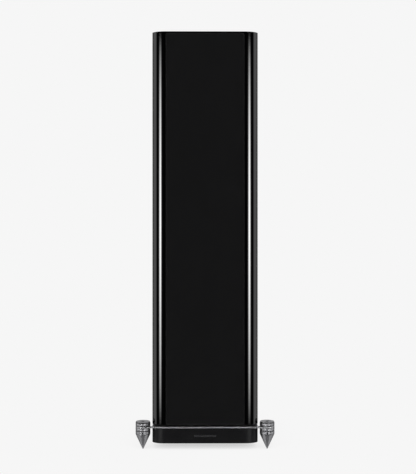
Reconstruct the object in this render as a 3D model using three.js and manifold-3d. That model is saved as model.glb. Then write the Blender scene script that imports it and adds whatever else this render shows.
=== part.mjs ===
// A floorstanding loudspeaker: lacquered cabinet, cloth grille, three-way drivers, and a plinth whose
// steel plate carries four levelling spikes. Millimetres. +Z is up, the front faces -Y, the origin is
// on the floor under the middle of the bounding box.

import * as THREE from 'three';
import { mergeVertices } from 'three/addons/utils/BufferGeometryUtils.js';
import Module from 'manifold-3d';

const wasm = await Module();
wasm.setup();

// ---------------------------------------------------------------- driving dimensions
const GAP = 0.3;                 // clearance between pieces that bear on each other
const ROUND = 16;                // facets round a turned piece

const CABINET = {
  halfWidth: 150.5,
  front: -208,                   // plane of the baffle
  back: 172,
  bottom: 71,
  top: 1188,
  wall: 22,
  cornerWidth: 38.5,             // the front corners are quarter ellipses
  cornerDepth: 22,
  backCorner: 6,
};

const PLINTH = {
  plateBottom: 62.4,
  plateTop: 66.4,
  plateFront: -210,
  plateBack: 174,
  blockBottom: 19,
  spacerInset: 30,
};

const FOOT = {
  radius: 21,
  clearance: 6,                  // from the cabinet to the feet behind it
  frontX: 177.3,
  neckRadius: 15,
  studRadius: 5,
  boreRadius: 5.4,
  headTop: 78.2,
  armDepth: 11,
  nutBottom: 54,
  wheelBottom: 43.5,
  spikeBore: 26,
  tipRadius: 1.5,
};

const GRILLE = {
  halfWidth: 111.3,
  bottom: 74,
  top: 1181,
  front: -220,
  clothThickness: 1.8,
  bar: 12,
};

// Radii of the flange, cage, opening, cone edge, coil and cage back; depths behind the baffle's face.
const MIDRANGE = {
  flange: 85, wall: 72, inner: 68.5, edge: 53, coil: 16, rear: 49, depth: 66, neckDepth: 27,
};
const BASS = {
  flange: 104, wall: 90, inner: 86, edge: 66, coil: 20, rear: 62, depth: 86, neckDepth: 34,
};
const DRIVERS = [
  { name: 'midrange', z: 957, ...MIDRANGE },
  { name: 'upper_bass', z: 757, ...BASS },
  { name: 'lower_bass', z: 530, ...BASS },
];

const TWEETER = {
  z: 1106, flange: 55, body: 40, dome: 13.5, thickness: 4,
};

const PORT = {
  z: 330, bore: 34, wall: 3, flange: 48, lip: 3, length: 150,
};

const TERMINAL = {
  z: 190, halfWidth: 62, halfHeight: 42, thickness: 4, spacing: 38, stud: 3.5, collar: 8.5, length: 23,
};

const BASKET_WINDOWS = 5;
const FLANGE_THICKNESS = 5;

// ---------------------------------------------------------------- materials
function material(color, roughness, metalness = 0) {
  return new THREE.MeshStandardMaterial({ color, roughness, metalness });
}

const LACQUER = material(0x060607, 0.05);
const SATIN_BLACK = material(0x1a1a1c, 0.45);
const MDF = material(0x9c7a55, 0.85);
const CLOTH = material(0x111112, 0.95);
const BLACK_PLASTIC = material(0x151516, 0.6);
const NICKEL = material(0x9a9a9c, 0.28, 1);
const CAST_ALLOY = material(0x2a2b2d, 0.5, 0.6);
const CONE_PAPER = material(0x1c1c1e, 0.7);
const RUBBER = material(0x0e0e0f, 0.75);
const SPIDER_CLOTH = material(0xb08a3e, 0.9);
const COIL_FORMER = material(0x9a6a3a, 0.4, 0.8);
const FERRITE = material(0x3a3b3d, 0.6, 0.3);
const SILK = material(0x18181a, 0.6);
const GOLD = material(0xc9a24a, 0.3, 1);
const RED_PLASTIC = material(0x8a1518, 0.3);
const BOARD = material(0x1f4a2c, 0.6);
const COPPER = material(0xb5673a, 0.35, 1);

// ---------------------------------------------------------------- geometry helpers

// Signed volume of an indexed surface; negative when its faces point in.
function signedVolume(position, index) {
  const a = new THREE.Vector3();
  const b = new THREE.Vector3();
  const c = new THREE.Vector3();
  let volume = 0;
  for (let i = 0; i < index.length; i += 3) {
    a.fromBufferAttribute(position, index[i]);
    b.fromBufferAttribute(position, index[i + 1]);
    c.fromBufferAttribute(position, index[i + 2]);
    volume += a.dot(b.cross(c)) / 6;
  }
  return volume;
}

// Shares the vertices, drops faces of no area and turns the surface outward.
function closedSurface(source) {
  const bare = source.clone();
  bare.deleteAttribute('normal');
  bare.deleteAttribute('uv');
  const merged = mergeVertices(bare, 1e-4);
  const old = merged.index.array;
  const kept = [];
  for (let i = 0; i < old.length; i += 3) {
    const [p, q, r] = [old[i], old[i + 1], old[i + 2]];
    if (p !== q && q !== r && r !== p) kept.push(p, q, r);
  }
  if (signedVolume(merged.getAttribute('position'), kept) < 0) {
    for (let i = 0; i < kept.length; i += 3) [kept[i + 1], kept[i + 2]] = [kept[i + 2], kept[i + 1]];
  }
  merged.setIndex(kept);
  return merged;
}

function toManifold(geometry) {
  const surface = closedSurface(geometry);
  return new wasm.Manifold(new wasm.Mesh({
    numProp: 3,
    vertProperties: new Float32Array(surface.getAttribute('position').array),
    triVerts: new Uint32Array(surface.index.array),
  }));
}

function fromManifold(solid) {
  const mesh = solid.getMesh();
  const geometry = new THREE.BufferGeometry();
  geometry.setAttribute('position', new THREE.BufferAttribute(mesh.vertProperties, 3));
  geometry.setIndex(new THREE.BufferAttribute(mesh.triVerts, 1));
  return geometry;
}

function cut(geometry, tools) {
  return fromManifold(tools.reduce((solid, tool) => solid.subtract(toManifold(tool)), toManifold(geometry)));
}

function box(low, high) {
  const size = low.map((value, axis) => high[axis] - value);
  const centre = low.map((value, axis) => (high[axis] + value) / 2);
  return new THREE.BoxGeometry(...size).translate(...centre);
}

// A profile of [radius, height] pairs turned about the Y axis.
function turned(profile, facets = ROUND) {
  const points = profile.map(([radius, height]) => new THREE.Vector2(radius, height));
  return closedSurface(new THREE.LatheGeometry(points, facets));
}

// The same, closed on itself rather than on the axis.
function ring(profile, facets = ROUND) {
  return turned([...profile, profile[0]], facets);
}

// A flat outline drawn in X and Y and raised from one height to another.
function slab(shape, low, high, curveSegments = 8) {
  const options = { depth: high - low, bevelEnabled: false, curveSegments };
  return closedSurface(new THREE.ExtrudeGeometry(shape, options).translate(0, 0, low));
}

function upright(geometry) {
  return geometry.rotateX(Math.PI / 2);
}

const group = new THREE.Group();

function add(name, geometry, finish, place = [0, 0, 0]) {
  const mesh = new THREE.Mesh(geometry, finish);
  mesh.name = name;
  mesh.position.set(...place);
  group.add(mesh);
}

// ---------------------------------------------------------------- cabinet

// Plan outline of the cabinet: elliptical front corners, small round back corners.
function cabinetOutline() {
  const { halfWidth, front, back, cornerWidth, cornerDepth, backCorner } = CABINET;
  const shape = new THREE.Shape();
  const corner = (x, from, to) => {
    shape.absellipse(x, front + cornerDepth, cornerWidth, cornerDepth, from, to, false, 0);
  };
  const rear = (x, from, to) => shape.absarc(x, back - backCorner, backCorner, from, to, false);
  shape.moveTo(-halfWidth, front + cornerDepth);
  corner(-halfWidth + cornerWidth, Math.PI, 1.5 * Math.PI);
  corner(halfWidth - cornerWidth, 1.5 * Math.PI, 2 * Math.PI);
  rear(halfWidth - backCorner, 0, 0.5 * Math.PI);
  rear(-halfWidth + backCorner, 0.5 * Math.PI, Math.PI);
  shape.closePath();
  return shape;
}

// A side wall with its thick rounded front post, in plan. Side is -1 or 1.
function sideOutline(side) {
  const { halfWidth, front, back, cornerWidth, cornerDepth, backCorner, wall } = CABINET;
  const postX = halfWidth - cornerWidth;
  const postY = front + cornerDepth;
  const shape = new THREE.Shape();
  shape.moveTo(postX, postY);
  shape.lineTo(postX, front);
  shape.absellipse(postX, postY, cornerWidth, cornerDepth, 1.5 * Math.PI, 2 * Math.PI, false, 0);
  shape.absarc(halfWidth - backCorner, back - backCorner, backCorner, 0, 0.5 * Math.PI, false);
  shape.lineTo(halfWidth - wall, back);
  shape.lineTo(halfWidth - wall, postY);
  shape.closePath();
  return new THREE.Shape(shape.getPoints(8).map((point) => new THREE.Vector2(side * point.x, point.y)));
}

function addCabinet() {
  const { halfWidth, front, back, bottom, top, wall, cornerWidth, cornerDepth } = CABINET;
  const ceiling = top - wall;
  const inside = halfWidth - wall - GAP;
  const insideFront = front + cornerDepth + GAP;
  const insideBack = back - wall - GAP;

  add('side_panel_left', slab(sideOutline(-1), bottom, ceiling - GAP), LACQUER);
  add('side_panel_right', slab(sideOutline(1), bottom, ceiling - GAP), LACQUER);
  add('top_panel', slab(cabinetOutline(), ceiling, top), LACQUER);
  const base = box([-inside, insideFront, bottom], [inside, insideBack, bottom + wall]);
  add('base_panel', closedSurface(base), MDF);

  const panel = box([-inside, back - wall, bottom], [inside, back, ceiling - GAP]);
  const terminalCut = box(
    [-TERMINAL.halfWidth + 10, back - wall - 1, TERMINAL.z - TERMINAL.halfHeight + 10],
    [TERMINAL.halfWidth - 10, back + 1, TERMINAL.z + TERMINAL.halfHeight - 10],
  );
  const terminalRebate = box(
    [-TERMINAL.halfWidth - GAP, back - TERMINAL.thickness - GAP, TERMINAL.z - TERMINAL.halfHeight - GAP],
    [TERMINAL.halfWidth + GAP, back + 1, TERMINAL.z + TERMINAL.halfHeight + GAP],
  );
  const portOuter = PORT.bore + PORT.wall;
  const portHole = disc(portOuter + GAP, back - wall - 1, back + 1, PORT.z);
  const portRebate = disc(PORT.flange + GAP, back - PORT.lip - GAP, back + 1, PORT.z);
  add('back_panel', cut(panel, [terminalCut, terminalRebate, portHole, portRebate]), LACQUER);

  const baffleHalf = halfWidth - cornerWidth - GAP;
  const baffle = box([-baffleHalf, front, bottom], [baffleHalf, front + cornerDepth, ceiling - GAP]);
  const holes = DRIVERS.flatMap(({ z, flange, wall: bodyRadius }) => [
    disc(flange + GAP, front - 1, front + FLANGE_THICKNESS + GAP, z),
    disc(bodyRadius + GAP, front, front + cornerDepth + 1, z),
  ]);
  holes.push(disc(TWEETER.flange + GAP, front - 1, front + TWEETER.thickness + GAP, TWEETER.z));
  holes.push(disc(TWEETER.body + GAP, front, front + cornerDepth + 1, TWEETER.z));
  add('front_baffle', cut(baffle, holes), LACQUER);

  add('midrange_chamber', chamber(insideFront), MDF);
  add('window_brace', brace(inside, insideFront, insideBack), MDF);

  const tube = ring([
    [PORT.bore + 5, back],
    [PORT.flange, back],
    [PORT.flange, back - PORT.lip],
    [portOuter, back - PORT.lip],
    [portOuter, back - PORT.length],
    [PORT.bore, back - PORT.length],
    [PORT.bore, back - 12],
    [PORT.bore + 1.5, back - 5],
  ]);
  add('port_tube', tube, BLACK_PLASTIC, [0, 0, PORT.z]);
}

// A round cutter along Y, at one height of the cabinet.
function disc(radius, from, to, z) {
  return new THREE.CylinderGeometry(radius, radius, to - from, ROUND).translate(0, (from + to) / 2, z);
}

// The box behind the midrange driver, open towards the baffle.
function chamber(insideFront) {
  const { z } = DRIVERS[0];
  const [halfWidth, halfHeight, depth, thickness] = [98, 88, 140, 12];
  const outer = box(
    [-halfWidth, insideFront, z - halfHeight],
    [halfWidth, insideFront + depth, z + halfHeight],
  );
  const hollow = box(
    [-halfWidth + thickness, insideFront - 1, z - halfHeight + thickness],
    [halfWidth - thickness, insideFront + depth - thickness, z + halfHeight - thickness],
  );
  return cut(outer, [hollow]);
}

// A shelf between the walls, with windows that let the air through.
function brace(inside, insideFront, insideBack) {
  const [low, high, margin, windowWidth] = [636, 652, 30, 94];
  const centres = [-62, 62];
  const windows = centres.map((x) => box(
    [x - windowWidth / 2, insideFront + 110, low - 1],
    [x + windowWidth / 2, insideBack - margin, high + 1],
  ));
  return cut(box([-inside, insideFront, low], [inside, insideBack, high]), windows);
}

// ---------------------------------------------------------------- plinth and feet

const FOOT_PLACES = {
  front_left: [-FOOT.frontX, PLINTH.plateFront + FOOT.radius],
  front_right: [FOOT.frontX, PLINTH.plateFront + FOOT.radius],
  back_left: [-CABINET.halfWidth + FOOT.radius, CABINET.back + FOOT.clearance + FOOT.radius],
  back_right: [CABINET.halfWidth - FOOT.radius, CABINET.back + FOOT.clearance + FOOT.radius],
};

// The steel plate: as wide as the cabinet, with a round-ended arm out to each side at the front and
// two round-ended lugs behind the cabinet.
function plateOutline() {
  const { halfWidth } = CABINET;
  const { radius, armDepth } = FOOT;
  const [frontX, frontY] = FOOT_PLACES.front_right;
  const [backX, backY] = FOOT_PLACES.back_right;
  const [armFillet, lugFillet] = [4, 8];
  const armBack = PLINTH.plateFront + armDepth;
  const padEnd = 3 + Math.asin((frontY - armBack) / radius) / Math.PI;
  const lugInner = backX - radius - lugFillet;
  const half = [];
  const arc = (x, y, size, from, to, clockwise) => {
    const path = new THREE.Path();
    path.absarc(x, y, size, from * Math.PI, to * Math.PI, clockwise);
    half.push(...path.getPoints(clockwise ? 3 : 10));
  };
  arc(frontX, frontY, radius, 1.5, padEnd, false);
  arc(halfWidth + armFillet, armBack + armFillet, armFillet, 1.5, 1, true);
  arc(backX, backY, radius, 0, 1, false);
  arc(lugInner, PLINTH.plateBack + lugFillet, lugFillet, 2, 1.5, true);
  const mirrored = half.map(({ x, y }) => new THREE.Vector2(-x, y)).reverse();
  const shape = new THREE.Shape([...half, ...mirrored]);
  shape.holes = Object.values(FOOT_PLACES).map(([x, y]) => {
    const hole = new THREE.Path();
    hole.absarc(x, y, FOOT.boreRadius, 0, 2 * Math.PI, true);
    return hole;
  });
  return shape;
}

function addPlinth() {
  const { plateBottom, plateTop, blockBottom, spacerInset } = PLINTH;
  const { halfWidth, front, back, bottom } = CABINET;
  const spacer = box(
    [-halfWidth + spacerInset, front + spacerInset, plateTop + GAP],
    [halfWidth - spacerInset, back - spacerInset, bottom - GAP],
  );
  add('plinth_spacer', closedSurface(spacer), BLACK_PLASTIC);
  add('outrigger_plate', slab(plateOutline(), plateBottom, plateTop, 5), NICKEL);
  add('plinth_block', slab(cabinetOutline(), blockBottom, plateBottom - GAP), SATIN_BLACK);
}

// One levelling foot: a headed bolt through the plate, the nut that clamps it, and below it a wheel
// that screws down the bolt's shank and carries the spike.
function addFoot(name, x, y) {
  const { radius, neckRadius, studRadius, boreRadius, tipRadius } = FOOT;
  const { headTop, nutBottom, wheelBottom, spikeBore } = FOOT;
  const { plateBottom, plateTop } = PLINTH;
  const place = [x, y, 0];
  const [neckHeight, groove, cap, spikeTop] = [1.8, headTop - 2.9, headTop - 0.7, wheelBottom - GAP];
  const studEnd = spikeBore + 1;

  const bolt = turned([
    [0, studEnd],
    [studRadius, studEnd],
    [studRadius, plateTop + GAP],
    [neckRadius, plateTop + GAP],
    [neckRadius, plateTop + neckHeight],
    [radius, plateTop + neckHeight],
    [radius, groove],
    [neckRadius, groove],
    [neckRadius, cap],
    [radius - 0.6, cap],
    [radius - 0.6, headTop],
    [0, headTop],
  ]);
  const nut = ring([
    [boreRadius, nutBottom],
    [radius, nutBottom],
    [radius, plateBottom - GAP],
    [boreRadius, plateBottom - GAP],
  ]);
  const wheel = ring([
    [boreRadius, wheelBottom],
    [radius, wheelBottom],
    [radius, nutBottom - GAP - neckHeight],
    [neckRadius, nutBottom - GAP - neckHeight],
    [neckRadius, nutBottom - GAP],
    [boreRadius, nutBottom - GAP],
  ]);
  const spike = turned([
    [0, 0],
    [tipRadius, 0],
    [radius, spikeTop],
    [boreRadius, spikeTop],
    [boreRadius, spikeBore],
    [0, spikeBore],
  ]);
  add(`${name}_foot_bolt`, upright(bolt), NICKEL, place);
  add(`${name}_clamp_nut`, upright(nut), NICKEL, place);
  add(`${name}_levelling_wheel`, upright(wheel), NICKEL, place);
  add(`${name}_spike`, upright(spike), NICKEL, place);
}

// ---------------------------------------------------------------- drivers

// The cast frame: flange let into the baffle, a cone-shaped cage, and a ledge for the spider.
function basket({ flange, wall, inner, rear, depth, coil }) {
  const [thickness, rim, ledge] = [FLANGE_THICKNESS, 14, depth - 8];
  const shell = ring([
    [flange, 0],
    [flange, thickness],
    [wall, thickness],
    [wall, rim],
    [rear, depth - 6],
    [rear, depth],
    [coil + 10, depth],
    [coil + 10, depth - 4],
    [rear - 10, depth - 4],
    [rear - 10, ledge],
    [rear - 4.5, ledge],
    [inner, rim - 1],
    [inner, 0],
  ]);
  const windows = Array.from({ length: BASKET_WINDOWS }, (_, index) => {
    const opening = new THREE.BoxGeometry(0.42 * wall, 0.52 * depth, 70);
    opening.translate(0, 0.5 * depth, (wall + rear) / 2);
    return opening.rotateY((index + 0.5) * 2 * Math.PI / BASKET_WINDOWS);
  });
  return cut(shell, windows);
}

// The half-roll of rubber between the frame and the cone.
function surround({ inner, edge }) {
  const [outerEdge, innerEdge] = [inner - GAP, edge + GAP];
  const [lip, rise, skin, seat, steps] = [2.5, 5.2, 1.1, 1.2, 5];
  const centre = (outerEdge + innerEdge) / 2;
  const half = (outerEdge - innerEdge) / 2 - lip;
  const arc = (width, height) => Array.from({ length: steps + 1 }, (_, step) => {
    const angle = Math.PI * step / steps;
    return [centre + width * Math.cos(angle), seat - height * Math.sin(angle)];
  });
  return ring([
    [outerEdge, seat],
    ...arc(half, rise),
    [innerEdge, seat],
    [innerEdge, seat + skin],
    [centre - half + skin, seat + skin],
    ...arc(half - skin, rise - skin).slice(1, -1).reverse(),
    [centre + half - skin, seat + skin],
    [outerEdge, seat + skin],
  ]);
}

// The cone with its dust cap, solid behind the cap where the coil former is glued in.
function cone({ edge, coil, neckDepth }) {
  const [rim, skin, neck, crown] = [1.8, 1.8, coil + 2, 8];
  return turned([
    [0, neckDepth - crown],
    [0.45 * neck, neckDepth - 0.85 * crown],
    [0.8 * neck, neckDepth - 0.4 * crown],
    [neck, neckDepth],
    [edge, rim],
    [edge, rim + skin],
    [neck, neckDepth + 3],
    [0, neckDepth + 3],
  ]);
}

// The corrugated disc that centres the coil.
function spider({ coil, rear, depth }) {
  const [from, to, skin, waves, height] = [coil + 0.4, rear - 5, 0.8, 4, 1.4];
  const level = depth - 9.6;
  const crest = Array.from({ length: waves + 1 }, (_, step) => [
    from + (to - from) * step / waves,
    level + (step % 2 === 0 ? 0 : -height),
  ]);
  return ring([...crest, ...crest.map(([radius, y]) => [radius, y + skin]).reverse()]);
}

function voiceCoil({ coil, neckDepth, depth }) {
  return ring([
    [coil, neckDepth + 3 + GAP],
    [coil, depth + 8],
    [coil - 1.5, depth + 8],
    [coil - 1.5, neckDepth + 3 + GAP],
  ]);
}

// Ring magnet, plates and pole piece, with the annular gap that the coil moves in.
function magnet({ coil, rear, depth }) {
  const scale = coil / 20;
  const [plate, floor, tail] = [8 * scale, 36 * scale, 42 * scale];
  return turned([
    [0, depth + 2],
    [coil - 2.3, depth + 2],
    [coil - 2.3, depth + floor - 4],
    [coil + 8, depth + floor - 4],
    [coil + 8, depth + plate],
    [coil + 0.8, depth + plate],
    [coil + 0.8, depth + GAP],
    [rear - 10, depth + GAP],
    [rear - 10, depth + plate],
    [rear + 2, depth + plate],
    [rear + 2, depth + floor - 6],
    [rear - 8, depth + tail],
    [0, depth + tail],
  ]);
}

function addDriver(driver) {
  const place = [0, CABINET.front, driver.z];
  add(`${driver.name}_basket`, basket(driver), CAST_ALLOY, place);
  add(`${driver.name}_surround`, surround(driver), RUBBER, place);
  add(`${driver.name}_cone`, cone(driver), CONE_PAPER, place);
  add(`${driver.name}_spider`, spider(driver), SPIDER_CLOTH, place);
  add(`${driver.name}_voice_coil`, voiceCoil(driver), COIL_FORMER, place);
  add(`${driver.name}_magnet`, magnet(driver), FERRITE, place);
}

function addTweeter() {
  const { z, flange, body, dome, thickness } = TWEETER;
  const place = [0, CABINET.front, z];
  const [throat, back] = [dome + 1.5, thickness + 2];
  const faceplate = ring([
    [flange, 0],
    [flange, thickness],
    [body, thickness],
    [body, back],
    [throat, back],
    [throat, thickness - 0.5],
    [2.1 * dome, 0],
  ]);
  const diaphragm = turned([
    [0, -1],
    [0.4 * dome, -0.3],
    [0.75 * dome, 1.7],
    [dome, thickness + 1.5],
    [dome, thickness + 9],
    [dome - 1, thickness + 9],
    [dome - 1, thickness + 3],
    [0, thickness + 3],
  ]);
  const motor = turned([
    [0, thickness + 5],
    [dome - 2, thickness + 5],
    [dome - 2, thickness + 16],
    [dome + 1, thickness + 16],
    [dome + 1, back + GAP],
    [body, back + GAP],
    [body, 40],
    [0, 40],
  ]);
  add('tweeter_faceplate', faceplate, BLACK_PLASTIC, place);
  add('tweeter_dome', diaphragm, SILK, place);
  add('tweeter_magnet', motor, FERRITE, place);
}

// ---------------------------------------------------------------- grille

function addGrille() {
  const { halfWidth, bottom, top, front, clothThickness, bar } = GRILLE;
  const frontOfFrame = front + clothThickness + GAP;
  const backOfFrame = CABINET.front - GAP;
  const crossBars = [
    (TWEETER.z - TWEETER.flange + DRIVERS[0].z + DRIVERS[0].flange) / 2,
    (DRIVERS[0].z - DRIVERS[0].flange + DRIVERS[1].z + DRIVERS[1].flange) / 2,
    (DRIVERS[1].z + DRIVERS[2].z) / 2,
    DRIVERS[2].z - DRIVERS[2].flange - 20,
    (DRIVERS[2].z - DRIVERS[2].flange - 20 + bottom) / 2,
  ];
  const edges = [top, ...crossBars, bottom];
  const windows = edges.slice(1).map((low, index) => {
    const under = low + (index === edges.length - 2 ? bar : bar / 2);
    const over = edges[index] - (index === 0 ? bar : bar / 2);
    return box([-halfWidth + bar, frontOfFrame - 1, under], [halfWidth - bar, backOfFrame + 1, over]);
  });
  const frame = box([-halfWidth, frontOfFrame, bottom], [halfWidth, backOfFrame, top]);
  add('grille_frame', cut(frame, windows), BLACK_PLASTIC);
  const cloth = box([-halfWidth, front, bottom], [halfWidth, front + clothThickness, top]);
  add('grille_cloth', closedSurface(cloth), CLOTH);
}

// ---------------------------------------------------------------- terminals and crossover

function addTerminals() {
  const { z, halfWidth, halfHeight, thickness, spacing, stud, collar, length } = TERMINAL;
  const face = CABINET.back;
  const end = face + length;
  const holeRadius = stud + GAP;
  const plate = box([-halfWidth, face - thickness, z - halfHeight], [halfWidth, face, z + halfHeight]);
  const places = [-spacing / 2, spacing / 2];
  const holes = places.map((x) => disc(holeRadius, face - thickness - 1, face + 1, z).translate(x, 0, 0));
  add('terminal_plate', cut(plate, holes), BLACK_PLASTIC);
  const [collarTop, washerTop, knobStart] = [face + 4, face + 6.3, face + 6.6];
  ['positive', 'negative'].forEach((pole, index) => {
    const place = [places[index], 0, z];
    const knobFinish = pole === 'positive' ? RED_PLASTIC : BLACK_PLASTIC;
    const stem = turned([
      [0, face - 18],
      [stud, face - 18],
      [stud, face + GAP],
      [collar, face + GAP],
      [collar, collarTop],
      [stud, collarTop],
      [stud, end - 7],
      [0, end - 7],
    ], 16);
    const washer = ring([
      [holeRadius, collarTop + GAP],
      [collar, collarTop + GAP],
      [collar, washerTop],
      [holeRadius, washerTop],
    ], 16);
    const knob = turned([
      [holeRadius, knobStart],
      [collar + 0.5, knobStart],
      [collar + 0.5, end - 1],
      [collar - 0.5, end],
      [0, end],
      [0, end - 6],
      [holeRadius, end - 6],
      [holeRadius, knobStart],
    ], 16);
    add(`terminal_stem_${pole}`, stem, GOLD, place);
    add(`terminal_washer_${pole}`, washer, GOLD, place);
    add(`terminal_knob_${pole}`, knob, knobFinish, place);
  });
}

function addCrossover() {
  const floor = CABINET.bottom + CABINET.wall + 6;
  const board = box([-70, -50, floor], [70, 60, floor + 2]);
  const inductor = ring([
    [10, 0],
    [30, 0],
    [30, 24],
    [10, 24],
  ]);
  add('crossover_board', closedSurface(board), BOARD);
  add('crossover_inductor', upright(inductor), COPPER, [-25, 5, floor + 2 + GAP]);
}

addCabinet();
addPlinth();
Object.entries(FOOT_PLACES).forEach(([name, [x, y]]) => addFoot(name, x, y));
DRIVERS.forEach(addDriver);
addTweeter();
addGrille();
addTerminals();
addCrossover();

export default group;
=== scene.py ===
"""Looks of a floorstanding loudspeaker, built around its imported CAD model.

The cabinet is one seamless lacquered shell; the grille is cloth stretched over a frame; the drivers,
feet, port and terminals are turned pieces; what stays inside the cabinet keeps its CAD solid.
"""

import math

import bmesh
import bpy
import numpy as np
from mathutils import Matrix, Vector


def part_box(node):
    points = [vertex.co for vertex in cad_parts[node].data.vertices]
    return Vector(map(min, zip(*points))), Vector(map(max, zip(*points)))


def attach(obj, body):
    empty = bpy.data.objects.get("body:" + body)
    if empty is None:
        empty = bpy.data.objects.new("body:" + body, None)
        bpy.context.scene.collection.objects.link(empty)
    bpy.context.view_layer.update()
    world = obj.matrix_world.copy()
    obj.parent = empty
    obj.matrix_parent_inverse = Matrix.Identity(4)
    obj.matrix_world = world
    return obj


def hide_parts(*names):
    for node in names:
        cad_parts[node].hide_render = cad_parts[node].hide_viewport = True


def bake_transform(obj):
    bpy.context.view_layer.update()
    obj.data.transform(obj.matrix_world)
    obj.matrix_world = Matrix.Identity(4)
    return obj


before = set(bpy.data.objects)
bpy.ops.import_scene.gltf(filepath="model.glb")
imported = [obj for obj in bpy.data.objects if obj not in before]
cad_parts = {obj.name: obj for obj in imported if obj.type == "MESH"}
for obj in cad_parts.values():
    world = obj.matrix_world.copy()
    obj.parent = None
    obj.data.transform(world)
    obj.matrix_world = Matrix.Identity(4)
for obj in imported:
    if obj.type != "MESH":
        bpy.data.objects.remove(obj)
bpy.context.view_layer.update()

MM = 0.001
HEADING = 0.4                    # degrees by which the camera stands to the left of the front
LIGHTS_HEADING = 1.15            # and by which the pair of soft boxes does
WHITE = 0.922                    # the backdrop and the open floor, as the camera sees them
FOOT_NAMES = ("front_left", "front_right", "back_left", "back_right")
DRIVER_NAMES = ("midrange", "upper_bass", "lower_bass")
POLES = ("positive", "negative")
MATERIALS = {}
SLOTS = dict.fromkeys(("steel_plate", "zinc_steel", "badge_metal"), "satin_nickel")     # else their own


# -------- node helpers


class Tree:
    """The nodes of a material or of the world, with short ways to add to them."""

    def __init__(self, owner):
        owner.use_nodes = True
        self.nodes = owner.node_tree.nodes
        self.links = owner.node_tree.links

    def put(self, node, name, value):
        """Gives an input a plain value, or links another node's output to it."""
        if isinstance(value, bpy.types.NodeSocket):
            self.links.new(value, node.inputs[name])
        else:
            node.inputs[name].default_value = value

    def add(self, kind, inputs=None, **settings):
        node = self.nodes.new("ShaderNode" + kind)
        for name, value in settings.items():
            setattr(node, name, value)
        for name, value in (inputs or {}).items():
            self.put(node, name, value)
        return node

    def calc(self, operation, first, second=0.0):
        return self.add("Math", {0: first, 1: second}, operation=operation).outputs["Value"]

    def mapped(self, value, low, high, start=0.0, end=1.0, kind="LINEAR"):
        """A value carried from start..end to low..high."""
        inputs = {"Value": value, "From Min": start, "From Max": end, "To Min": low, "To Max": high}
        return self.add("MapRange", inputs, interpolation_type=kind).outputs["Result"]


class Paint(Tree):
    """A material in the making: a Principled shader and textures in object coordinates, in metres."""

    def __init__(self, name):
        self.material = bpy.data.materials.new(name)
        MATERIALS[name] = self.material
        super().__init__(self.material)
        self.shader = self.nodes["Principled BSDF"]

    def settle(self, **values):
        """Sets or links the shader's own inputs, given with underscores for spaces."""
        for key, value in values.items():
            self.put(self.shader, key.replace("_", " "), value)

    def point(self, stretch=(1, 1, 1)):
        place = self.add("TexCoord").outputs["Object"]
        return self.add("Mapping", {"Vector": place, "Scale": stretch}).outputs["Vector"]

    def noise(self, scale, detail=3.0, roughness=0.55, stretch=(1, 1, 1)):
        """Noise of so many bumps to the metre."""
        point = self.point(stretch)
        inputs = {"Vector": point, "Scale": scale, "Detail": detail, "Roughness": roughness}
        return self.add("TexNoise", inputs).outputs["Fac"]

    def stripes(self, scale, direction):
        """Even waves one after another in a direction; a scale of 314 makes them 1 mm long."""
        inputs = {"Vector": self.point(), "Scale": scale, "Distortion": 0.0}
        settings = {"wave_type": "BANDS", "wave_profile": "SIN", "bands_direction": direction}
        return self.add("TexWave", inputs, **settings).outputs["Fac"]

    def blended(self, first, second, share):
        """So much of the first value, and the rest of the second."""
        rest = self.calc("MULTIPLY", second, 1 - share)
        return self.calc("ADD", self.calc("MULTIPLY", first, share), rest)

    def tint(self, value, dark, light):
        """The surface's colour, between dark and light by a value from 0 to 1."""
        ramp = self.add("ValToRGB", {"Fac": value})
        ramp.color_ramp.elements[0].color = (*dark, 1)
        ramp.color_ramp.elements[1].color = (*light, 1)
        self.settle(Base_Color=ramp.outputs["Color"])

    def roughen(self, value, low, high):
        self.settle(Roughness=self.mapped(value, low, high))

    def bump(self, height, distance, strength=1.0):
        """Surface relief so many metres high."""
        inputs = {"Height": height, "Distance": distance, "Strength": strength}
        self.settle(Normal=self.add("Bump", inputs).outputs["Normal"])


# -------- materials


def speckled(name, specks, dark, light, roughness, relief, fine=None, strength=0.5, **values):
    """One noise for colour and roughness, and the same or a finer one for the relief."""
    paint = Paint(name)
    coarse = paint.noise(*specks)
    paint.tint(coarse, dark, light)
    paint.roughen(coarse, *roughness)
    paint.bump(paint.noise(*fine) if fine else coarse, relief, strength)
    paint.settle(**values)


def moulded_plastic(name, color, roughness, grain=0.00003):
    """Injection-moulded plastic with a spark-eroded grain."""
    dark = tuple(0.75 * channel for channel in color)
    spread = (0.85 * roughness, 1.15 * roughness)
    speckled(name, (60,), dark, color, spread, grain, (2200, 2), 0.6, IOR=1.46)


def turned_metal(name, color, roughness, axis, metallic=1.0):
    """Metal turned on a lathe: fine rings across the axis, and slight stains in the plate."""
    paint = Paint(name)
    lines = paint.noise(40, 4, 0.6, {"Y": (60, 1, 60), "Z": (1, 1, 60)}[axis])
    stains = paint.noise(55, 4)
    paint.tint(stains, tuple(0.86 * channel for channel in color), color)
    paint.roughen(paint.blended(lines, stains, 0.7), 0.75 * roughness, 1.3 * roughness)
    paint.bump(lines, 0.00001, 0.6)
    paint.settle(Metallic=metallic)


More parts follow.
